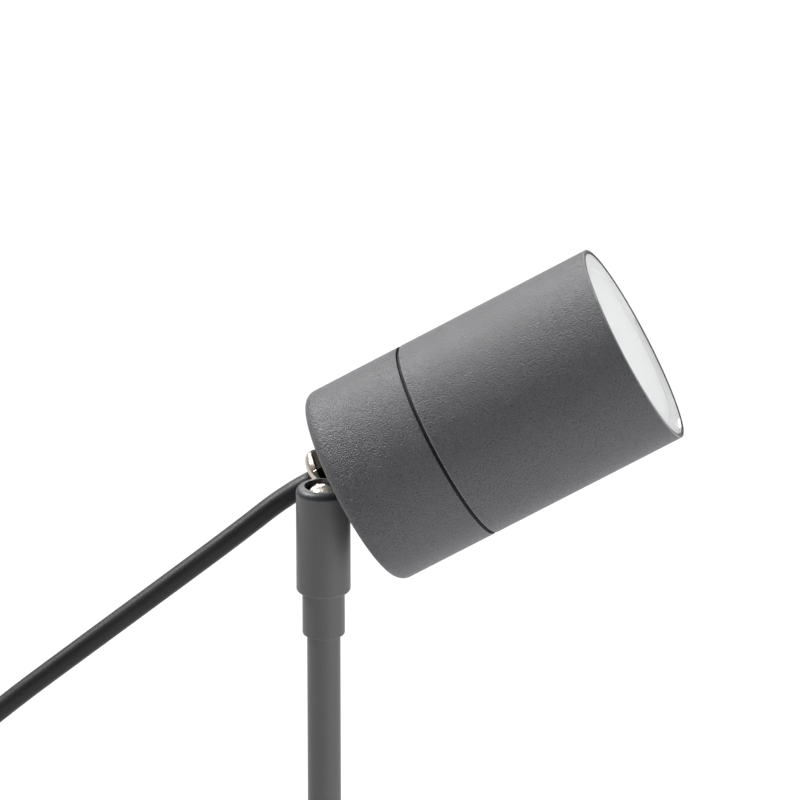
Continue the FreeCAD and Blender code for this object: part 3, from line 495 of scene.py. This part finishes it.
def head_coat_finish():
    """The head's powder coat, with painted highlights on the rim and on the groove's front edge,
    the rim's inner wall between rim and glass painted near-black as shade in that shallow recess
    and as the seal's dark edge, and painted deep shade in the parting groove."""
    finish = grained_finish("Head powder coat", "Coat grain", colours().head_coat,
                            width=sizes().grain_size, roughness=(0.36, 0.46), bump=0.00018,
                            depth=0.4)
    tree = finish.node_tree
    along, radius = head_place(tree)
    # Painted highlight on the mouth's rim, where its rounded edge catches the light.
    rim = zone(tree, (along, RIM_ALONG), (radius, RIM_RADIUS))
    over(finish, rim, colour=(0.16, 0.16, 0.17), roughness=0.35)
    # Painted near-black on the rim's inner wall: shade in the shallow recess before the glass, and
    # the seal's dark edge.
    recess_shade_and_seal = zone(tree, (along, RECESS_SHADE_AND_SEAL_ALONG), (radius, RECESS_SHADE_AND_SEAL_RADIUS))
    over(finish, recess_shade_and_seal, colour=(0.004, 0.004, 0.004), roughness=0.4)
    # Painted deep shade in the parting groove.
    groove = zone(tree, (along, GROOVE_BACK), (along, GROOVE_FRONT), (radius, GROOVE_RADIUS))
    over(finish, groove, colour=(0.002, 0.002, 0.002), roughness=0.7)
    # Painted highlight on the groove's front edge, where its bevel catches the light.
    edge = zone(tree, (along, GROOVE_EDGE_BACK), (along, GROOVE_EDGE_FRONT))
    over(finish, edge, colour=(0.11, 0.11, 0.115), roughness=0.35)
    return finish


def stem_coat_finish(name):
    """The smoother grey coat of collar, sleeve and rod."""
    return grained_finish(name, "Coat grain", colours().stem_coat, width=0.00035,
                          roughness=(0.36, 0.46), bump=0.00002, depth=0.08)


def collar_finish():
    """The stem's coat, dark on the collar's rounded shoulder."""
    finish = stem_coat_finish("Collar coat")
    tree = finish.node_tree
    height = shader_node(tree, "ShaderNodeSeparateXYZ", {0: object_place(tree)}).outputs["Z"]
    shoulder = zone(tree, (height, SHOULDER_HEIGHT))
    over(finish, shoulder, colour=(0.012, 0.013, 0.016), roughness=0.42)
    return finish


def nickel_finish(name):
    """Polished nickel plate with hairline marks."""
    return grained_finish(name, "Fine scratches", colours().nickel, width=0.00015,
                          roughness=(0.05, 0.11), bump=0.000002, metal=1.0)


def gland_finish():
    """Nickel plate, painted near-black where the gland stands close to the head's back: a painted
    reflection of the dark head, and painted shade next to it.
    """
    finish = nickel_finish("Gland nickel")
    tree = finish.node_tree
    along, _ = head_place(tree)
    # Painted reflection of the dark head and painted shade, on the gland next to the head's back.
    painted_reflection_and_shade = zone(tree, (along, GLAND_SHADE_ALONG))
    over(finish, painted_reflection_and_shade, colour=(0.004, 0.003, 0.002), roughness=0.45)
    return finish


def clear_glass():
    """Clear toughened glass with a faint green, let through by shadow and diffuse rays."""
    finish, tree, shader = new_finish("Front glass")
    haze = noise(tree, object_place(tree), scale=120.0, detail=4.0)
    tint = between(tree, haze, (0.975, 0.98, 0.98, 1.0), (0.985, 0.99, 0.99, 1.0))
    tree.links.new(tint, shader.inputs["Base Color"])
    tree.links.new(spread(tree, haze, 0.5, 0.8, 0.0, 0.02), shader.inputs["Roughness"])
    shader.inputs["Transmission Weight"].default_value = 1.0
    shader.inputs["IOR"].default_value = 1.5
    rays = shader_node(tree, "ShaderNodeLightPath").outputs
    lets_by = math_of(tree, "MAXIMUM", rays["Is Shadow Ray"], rays["Is Diffuse Ray"])
    air = shader_node(tree, "ShaderNodeBsdfTransparent", {"Color": (0.95, 0.96, 0.96, 1.0)})
    mix = shader_node(tree, "ShaderNodeMixShader",
                      {0: lets_by, 1: shader.outputs[0], 2: air.outputs[0]})
    tree.links.new(mix.outputs[0], tree.nodes["Material Output"].inputs["Surface"])
    return finish


def finish_nodes(finish, *names):
    """Gives these solids of the frame that finish."""
    for name in names:
        mesh = frame["nodes"][name].data
        mesh.materials.clear()
        mesh.materials.append(finish)


# ---- meshes -----------------------------------------------------------------------------
def new_piece(name, points, faces, finish):
    """A smooth mesh object at the origin, from arrays of points and four-sided faces."""
    mesh = bpy.data.meshes.new(name)
    mesh.vertices.add(len(points))
    mesh.vertices.foreach_set("co", np.asarray(points, np.float32).ravel())
    mesh.loops.add(faces.size)
    mesh.loops.foreach_set("vertex_index", faces.astype(np.int32).ravel())
    mesh.polygons.add(len(faces))
    starts = np.arange(len(faces), dtype=np.int32) * faces.shape[1]
    mesh.polygons.foreach_set("loop_start", starts)
    mesh.update(calc_edges=True)
    mesh.validate()
    mesh.polygons.foreach_set("use_smooth", np.ones(len(mesh.polygons), bool))
    mesh.materials.append(finish)
    piece = bpy.data.objects.new(name, mesh)
    bpy.context.scene.collection.objects.link(piece)
    return piece


def grid_faces(rows, columns):
    """Four-sided faces of a grid of points, row after row, whose columns close to a ring."""
    row = np.arange(rows - 1)[:, None]
    column = np.arange(columns)[None, :]
    after = (column + 1) % columns
    corners = (row * columns + column, row * columns + after,
               (row + 1) * columns + after, (row + 1) * columns + column)
    return np.stack(corners, -1).reshape(-1, 4)


def turned_points(profile, columns):
    """A profile turned about the head's axis: each of its points, a radius and a place along
    the axis, runs round a circle square to the axis."""
    down = np.array([math.cos(HEAD_LEAN), 0.0, -math.sin(HEAD_LEAN)])
    side = np.cross(HEAD_AXIS, down)
    angle = np.linspace(0, 2 * math.pi, columns, endpoint=False)
    circle = np.cos(angle)[:, None] * down + np.sin(angle)[:, None] * side
    radius, along = np.array(profile).T
    rings = (np.array(MOUTH_CENTRE) + along[:, None, None] * HEAD_AXIS
             + radius[:, None, None] * circle[None, :, :])
    return rings.reshape(-1, 3)


def supported(outline, reach):
    """A closed outline with two extra points beside each corner, that reach away from it, so
    that smooth shading keeps the faces flat and the corners crisp."""
    corner = np.array(outline, float)
    to_next = np.roll(corner, -1, 0) - corner
    to_last = np.roll(corner, 1, 0) - corner
    for step in (to_next, to_last):
        step *= reach / np.linalg.norm(step, axis=1, keepdims=True)
    return np.stack([corner + to_last, corner, corner + to_next], 1).reshape(-1, 2)


def coil_route():
    """Control points of the coil: the radius falls by the pitch each turn, dips through the half
    turn that climbs by a cosine to the upper layer, and grows by the pitch each turn again.
    The straight stretches at both ends are square to the radius there."""
    size = sizes()
    turns = size.turns_in + COIL_CLIMB_TURNS + size.turns_out
    turn = np.arange(round(turns * COIL_POINTS_PER_TURN) + 1) / COIL_POINTS_PER_TURN
    inner = size.coil_outer_radius - size.coil_pitch * size.turns_in
    inwards = np.clip(size.turns_in - turn, 0.0, None)
    climb = np.clip(turn - size.turns_in, 0.0, COIL_CLIMB_TURNS)
    outwards = np.clip(turn - size.turns_in - COIL_CLIMB_TURNS, 0.0, None)
    dip = np.minimum(climb, COIL_CLIMB_TURNS - climb)
    radius = inner + size.coil_pitch * (inwards + outwards - dip)
    angle = COIL_START + 2 * math.pi * turn
    rise = (1 - np.cos(math.pi * climb / COIL_CLIMB_TURNS)) / 2
    height = size.cable_diameter / 2 + size.coil_rise * rise
    coil = np.stack([COIL_CENTRE[0] + radius * np.cos(angle),
                     COIL_CENTRE[1] + radius * np.sin(angle), height], 1)
    first, last = np.stack([-np.sin(angle), np.cos(angle), 0 * angle], 1)[[0, -1]]
    begin = coil[0] - first * size.cable_diameter
    end = coil[-1] + last * size.cable_diameter
    return np.vstack([begin - first * size.ground_run, begin, coil, end,
                      end + last * size.ground_run])


def cable_line():
    """Points along the cable's middle, read from one spline through its whole route."""
    route = np.vstack([LEAD_AND_RUN, coil_route(), TO_PLUG])
    curve = bpy.data.curves.new("Cable route", "CURVE")
    curve.dimensions = "3D"
    curve.resolution_u = 8
    spline = curve.splines.new("NURBS")
    spline.points.add(len(route) - 1)
    spline.points.foreach_set("co", np.hstack([route, np.ones((len(route), 1))]).ravel())
    spline.order_u = 3
    spline.use_endpoint_u = True
    carrier = bpy.data.objects.new("Cable route", curve)
    line = bpy.data.meshes.new_from_object(carrier)
    path = np.empty(len(line.vertices) * 3, np.float32)
    line.vertices.foreach_get("co", path)
    bpy.data.objects.remove(carrier)
    bpy.data.meshes.remove(line)
    bpy.data.curves.remove(curve)
    return path.reshape(-1, 3).astype(float)


def tube_points(path, radius, sides):
    """A round tube along the path: circles square to it, each laid out from the level
    direction across the path, so that the tube doesn't twist."""
    way = np.gradient(path, axis=0)
    way /= np.linalg.norm(way, axis=1, keepdims=True)
    side = np.cross(way, UPRIGHT)
    side /= np.linalg.norm(side, axis=1, keepdims=True)
    top = np.cross(side, way)
    angle = np.linspace(0, 2 * math.pi, sides, endpoint=False)
    rings = (path[:, None, :]
             + radius * (np.cos(angle)[None, :, None] * side[:, None, :]
                         - np.sin(angle)[None, :, None] * top[:, None, :]))
    return rings.reshape(-1, 3)


def end_faces(rings, sides):
    """Flat ends of a tube: strips between the points that face each other across the first
    ring, and the same strips turned round across the last one."""
    low = np.arange(sides // 2 - 1)
    strips = np.stack([low, low + 1, sides - 2 - low, sides - 1 - low], 1)
    return np.vstack([strips[:, ::-1], strips + (rings - 1) * sides])


# ---- operators --------------------------------------------------------------------------
class SPOTLIGHT_OT_studio(bpy.types.Operator):
    """Floor, white room, lights and camera"""

    bl_idname = "spotlight.studio"
    bl_label = "Studio"

    def execute(self, context):
        self.make_floor()
        self.make_room(context.scene)
        self.make_lights()
        self.make_camera(context.scene)
        return {"FINISHED"}

    def make_floor(self):
        """A pale floor at the ground line. The camera looks through it but for a thin veil of
        shade, rays to the lights pass through, and all other rays find it glowing white."""
        room = studio()
        finish, tree, shader = new_finish("Pale floor")
        tree.nodes.remove(shader)
        rays = shader_node(tree, "ShaderNodeLightPath").outputs
        level = spread(tree, rays["Is Glossy Ray"], 0.0, 1.0, room.floor_level, room.floor_gloss)
        glow = shader_node(tree, "ShaderNodeEmission", {"Strength": level})
        # The lights leave a white floor a little under 1, and this brings it back there.
        lift = 1.35
        shade = min(room.floor_veil * lift, 1.0)
        share = 1 - room.floor_veil
        veil = shader_node(tree, "ShaderNodeBsdfDiffuse", {"Color": (shade, shade, shade, 1.0)})
        through = shader_node(tree, "ShaderNodeBsdfTransparent",
                              {"Color": (share, share, share, 1.0)})
        both = shader_node(tree, "ShaderNodeAddShader", {0: through.outputs[0], 1: veil.outputs[0]})
        seen = shader_node(tree, "ShaderNodeMixShader",
                           {0: rays["Is Camera Ray"], 1: glow.outputs[0], 2: both.outputs[0]})
        clear = shader_node(tree, "ShaderNodeBsdfTransparent")
        whole = shader_node(tree, "ShaderNodeMixShader",
                            {0: rays["Is Shadow Ray"], 1: seen.outputs[0], 2: clear.outputs[0]})
        tree.links.new(whole.outputs[0], tree.nodes["Material Output"].inputs["Surface"])
        reach = 9.0
        corners = reach * np.array([[-1, -1, 0], [1, -1, 0], [1, 1, 0], [-1, 1, 0]])
        floor = new_piece("Floor", corners, np.array([[0, 1, 2, 3]]), finish)

    def make_room(self, scene):
        """White to the camera, to gloss and through glass, and an even level for the rest,
        which falls off on the camera's side and low down, next to the floor."""
        room = studio()
        world = bpy.data.worlds.new("White room")
        scene.world = world
        world.use_nodes = True
        tree = world.node_tree
        background = tree.nodes["Background"]
        background.inputs["Color"].default_value = (1.0, 1.0, 1.0, 1.0)
        rays = shader_node(tree, "ShaderNodeLightPath").outputs
        way = shader_node(tree, "ShaderNodeTexCoord").outputs["Generated"]
        parts = shader_node(tree, "ShaderNodeSeparateXYZ", {0: way}).outputs
        front_to_back, floor_to_sky = (-0.6, 0.35), (-0.05, 0.45)
        level = math_of(tree, "MULTIPLY",
                        spread(tree, parts["Y"], *front_to_back, room.front_level, 1.0),
                        spread(tree, parts["Z"], *floor_to_sky, room.skyline_level, 1.0))
        mirrored = math_of(tree, "MAXIMUM", rays["Is Glossy Ray"], rays["Is Transmission Ray"])
        share = spread(tree, mirrored, 0.0, 1.0, room.room_level, 1.0)
        dimmed = math_of(tree, "MULTIPLY", level, share)
        tree.links.new(math_of(tree, "MAXIMUM", dimmed, rays["Is Camera Ray"]),
                       background.inputs["Strength"])

    def make_lights(self):
        """The lights: each has its power, its place, and its width and height."""
        room = studio()
        self.add_light("Key light", room.key_power, (-0.78, 0.25, 1.28), 0.55, 0.8)
        self.add_light("Rim light", room.rim_power, (-0.3, 1.0, 0.9), 0.9, 0.4)
        self.add_light("Mouth light", room.mouth_power, (1.13, 0.0, 0.88), 0.8, 0.8)
        self.add_light("Fill light", room.fill_power, (0.95, -0.62, -0.05), 1.3, 1.3)

    def add_light(self, name, power, place, width, height):
        """A soft area light that looks at the lamp head."""
        lamp = bpy.data.lights.new(name, "AREA")
        lamp.energy = power
        lamp.shape = "RECTANGLE"
        lamp.size, lamp.size_y = width, height
        light = bpy.data.objects.new(name, lamp)
        light.visible_camera = False
        bpy.context.scene.collection.objects.link(light)
        light.location = place
        aim = Vector(LIGHTS_AIM) - Vector(place)
        light.rotation_mode = "QUATERNION"
        light.rotation_quaternion = aim.to_track_quat("-Z", "Y")

    def make_camera(self, scene):
        """The camera looks along its heading and down by its pitch, with no turn about that."""
        room = studio()
        right = np.array([math.cos(room.heading), math.sin(room.heading), 0.0])
        level = np.array([-math.sin(room.heading), math.cos(room.heading), 0.0])
        forward = math.cos(room.pitch) * level - math.sin(room.pitch) * UPRIGHT
        up = math.sin(room.pitch) * level + math.cos(room.pitch) * UPRIGHT
        place = PIVOT - right * room.ball_right - up * room.ball_up - forward * room.distance
        lens = bpy.data.cameras.new("Camera")
        lens.lens = room.focal_length
        lens.sensor_width = 36.0
        lens.clip_start, lens.clip_end = 0.05, 60.0
        camera = bpy.data.objects.new("Camera", lens)
        scene.collection.objects.link(camera)
        turn = Matrix([right, up, -forward]).transposed().to_4x4()
        camera.matrix_world = Matrix.Translation(place) @ turn
        scene.camera = camera
        scene.view_settings.view_transform = "Standard"


class SPOTLIGHT_OT_finishes(bpy.types.Operator):
    """Shared grain, scratch and dust patterns, which the pieces' finishes use"""

    bl_idname = "spotlight.finishes"
    bl_label = "Shared patterns"

    def execute(self, context):
        make_coat_grain()
        make_moulded_grain()
        make_fine_scratches()
        make_settled_dust()
        make_head_place()
        return {"FINISHED"}


class SPOTLIGHT_OT_cable(bpy.types.Operator):
    """Rubber cable from the gland over the ground to the coil and the plug"""

    bl_idname = "spotlight.cable"
    bl_label = "Cable"

    def execute(self, context):
        size = sizes()
        finish = grained_finish("Cable sheath", "Moulded grain", colours().cable, width=0.0004,
                                roughness=(0.38, 0.50), bump=0.00002, specular=0.28)
        path = cable_line()
        sides = 24
        points = tube_points(path, size.cable_diameter / 2, sides)
        faces = np.vstack([grid_faces(len(path), sides), end_faces(len(path), sides)])
        cable = new_piece("cable", points, faces, finish)
        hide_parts("cable_lead", "cable_run", "cable_coil", "cable_tail")
        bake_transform(cable)
        finish_nodes(finish, "cable_entry")
        return {"FINISHED"}


class SPOTLIGHT_OT_head(bpy.types.Operator):
    """Powder-coated shells of the lamp head"""

    bl_idname = "spotlight.head"
    bl_label = "Head shells"

    def execute(self, context):
        finish_nodes(head_coat_finish(), "rear_cap", "front_barrel")
        return {"FINISHED"}


class SPOTLIGHT_OT_front(bpy.types.Operator):
    """Front glass with its seal, the pale ring and the lamp with its frosted disc"""

    bl_idname = "spotlight.front"
    bl_label = "Glass and lamp"

    def execute(self, context):
        finish_nodes(clear_glass(), "front_glass")
        finish_nodes(
            grained_finish("Glass seal", "Moulded grain", (0.02, 0.02, 0.02), width=0.0003,
                           roughness=(0.3, 0.45), bump=0.00001),
            "glass_seal", "barrel_o_ring")
        self.make_pale_ring(
            grained_finish("Lamp ring plastic", "Moulded grain", colours().lamp_ring,
                           width=0.0006, roughness=(0.4, 0.5), bump=0.00001, depth=0.02))
        finish_nodes(
            grained_finish("Frosted disc", "Moulded grain", colours().lamp_disc, width=0.0004,
                           roughness=(0.45, 0.6), bump=0.00002, depth=0.02),
            "lamp_lens")
        finish_nodes(
            grained_finish("Lamp housing", "Moulded grain", (0.80, 0.80, 0.79), width=0.0006,
                           roughness=(0.35, 0.5), bump=0.00002, depth=0.03),
            "lamp_body")
        return {"FINISHED"}

    def make_pale_ring(self, finish):
        """The ring behind the glass: its profile turned about the head's axis, with a bevel
        inside and a flange that rests in the barrel. Its face lies a hair's breadth under the
        glass, because the solid's face touches it, and faces that touch render blotchy."""
        outer, body, step, bore = 0.03022, 0.0276, 0.0253, 0.02445
        top, flange, ledge, foot = -0.00378, -0.0052, -0.00545, -0.0062
        bevel, corner_reach = 0.00025, 0.00008
        profile = supported(
            [(step, foot), (body, foot), (body, flange), (outer, flange), (outer, top),
             (bore + bevel, top), (bore, top - bevel), (bore, ledge), (step, ledge)],
            corner_reach)
        rows, columns = len(profile), 256
        # The last row of faces closes on the first row of points.
        faces = grid_faces(rows + 1, columns) % (rows * columns)
        ring = new_piece("pale_ring", turned_points(profile, columns), faces, finish)
        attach(ring, "head")
        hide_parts("lamp_ring")


class SPOTLIGHT_OT_stem(bpy.types.Operator):
    """Rod, sleeve, collar, ball stud and gland, with their seat, pad, bush and screws"""

    bl_idname = "spotlight.stem"
    bl_label = "Stem and joint"

    def execute(self, context):
        finish_nodes(stem_coat_finish("Stem coat"), "rod", "sleeve")
        finish_nodes(collar_finish(), "collar")
        finish_nodes(nickel_finish("Nickel plate"), "ball_stud", "plug_pins")
        finish_nodes(gland_finish(), "gland_cap", "gland_body")
        finish_nodes(
            grained_finish("Zinc-plated steel", "Fine scratches", (0.58, 0.59, 0.61),
                           width=0.0002, roughness=(0.25, 0.4), bump=0.000004, metal=1.0),
            "stud_washer", "stud_nut", "hub_screw", "sleeve_screw", "holder_screws",
            "bracket_screws", "holder_bracket", "earth_tag")
        finish_nodes(
            grained_finish("Ball seat plastic", "Moulded grain", (0.80, 0.79, 0.74),
                           width=0.0005, roughness=(0.35, 0.45), bump=0.00001, depth=0.03),
            "ball_seat")
        finish_nodes(
            grained_finish("Soft rubber", "Moulded grain", (0.02, 0.02, 0.02), width=0.0005,
                           roughness=(0.55, 0.7), bump=0.00003),
            "friction_pad", "gland_bush")
        return {"FINISHED"}


class SPOTLIGHT_OT_inside(bpy.types.Operator):
    """Lamp holder, terminals and leads inside the head, and the brass of lamp and plug"""

    bl_idname = "spotlight.inside"
    bl_label = "Inner pieces"

    def execute(self, context):
        finish_nodes(
            grained_finish("Glazed ceramic", "Moulded grain", (0.80, 0.77, 0.70), width=0.001,
                           roughness=(0.15, 0.3), bump=0.00001, depth=0.04),
            "lamp_holder")
        finish_nodes(
            grained_finish("Turned brass", "Fine scratches", (0.72, 0.52, 0.24), width=0.0002,
                           roughness=(0.2, 0.35), bump=0.000004, metal=1.0),
            "lamp_pins", "terminal_screws", "earth_screw", "plug_clips")
        finish_nodes(
            grained_finish("Terminal plastic", "Moulded grain", (0.78, 0.78, 0.76),
                           width=0.0005, roughness=(0.4, 0.55), bump=0.00002, depth=0.03),
            "terminal_block")
        finish_nodes(
            grained_finish("Wire sheath", "Moulded grain", (0.20, 0.09, 0.04), width=0.0004,
                           roughness=(0.3, 0.4), bump=0.00001),
            "cable_cores", "holder_leads")
        return {"FINISHED"}


class SPOTLIGHT_OT_ground(bpy.types.Operator):
    """Ground spike and plug"""

    bl_idname = "spotlight.ground"
    bl_label = "Spike and plug"

    def execute(self, context):
        finish_nodes(
            grained_finish("Spike plastic", "Moulded grain", colours().spike, width=0.0005,
                           roughness=(0.42, 0.58), bump=0.00003, dust=0.15),
            "ground_spike")
        finish_nodes(
            grained_finish("Plug rubber", "Moulded grain", (0.022, 0.022, 0.023), width=0.0006,
                           roughness=(0.5, 0.66), bump=0.00003, dust=0.08),
            "plug_body")
        return {"FINISHED"}


class SPOTLIGHT_PT_panel(bpy.types.Panel):
    """Lists the steps that dress the spotlight, and the values they use"""

    bl_label = "Spotlight"
    bl_space_type = "VIEW_3D"
    bl_region_type = "UI"
    bl_category = "Spotlight"

    def draw(self, context):
        for step in STEPS:
            self.layout.operator(step.bl_idname)
        for group in (sizes(), colours(), studio()):
            box = self.layout.box()
            for name in group.__annotations__:
                box.prop(group, name)


STEPS = (SPOTLIGHT_OT_finishes, SPOTLIGHT_OT_studio, SPOTLIGHT_OT_cable, SPOTLIGHT_OT_head,
         SPOTLIGHT_OT_front, SPOTLIGHT_OT_stem, SPOTLIGHT_OT_inside, SPOTLIGHT_OT_ground)
CLASSES = (SpotlightSizes, SpotlightColours, SpotlightStudio, *STEPS, SPOTLIGHT_PT_panel)


def register():
    """Makes the steps, the values and the panel known to Blender."""
    for kind in CLASSES:
        bpy.utils.register_class(kind)
    bpy.types.Scene.spotlight_sizes = bpy.props.PointerProperty(type=SpotlightSizes)
    bpy.types.Scene.spotlight_colours = bpy.props.PointerProperty(type=SpotlightColours)
    bpy.types.Scene.spotlight_studio = bpy.props.PointerProperty(type=SpotlightStudio)


def unregister():
    """Takes back what register does, in the other order."""
    del bpy.types.Scene.spotlight_studio
    del bpy.types.Scene.spotlight_colours
    del bpy.types.Scene.spotlight_sizes
    for kind in reversed(CLASSES):
        bpy.utils.unregister_class(kind)


def main():
    """Takes the steps in order."""
    register()
    bpy.ops.spotlight.finishes()
    bpy.ops.spotlight.studio()
    bpy.ops.spotlight.cable()
    bpy.ops.spotlight.head()
    bpy.ops.spotlight.front()
    bpy.ops.spotlight.stem()
    bpy.ops.spotlight.inside()
    bpy.ops.spotlight.ground()


if __name__ == "__main__":
    main()
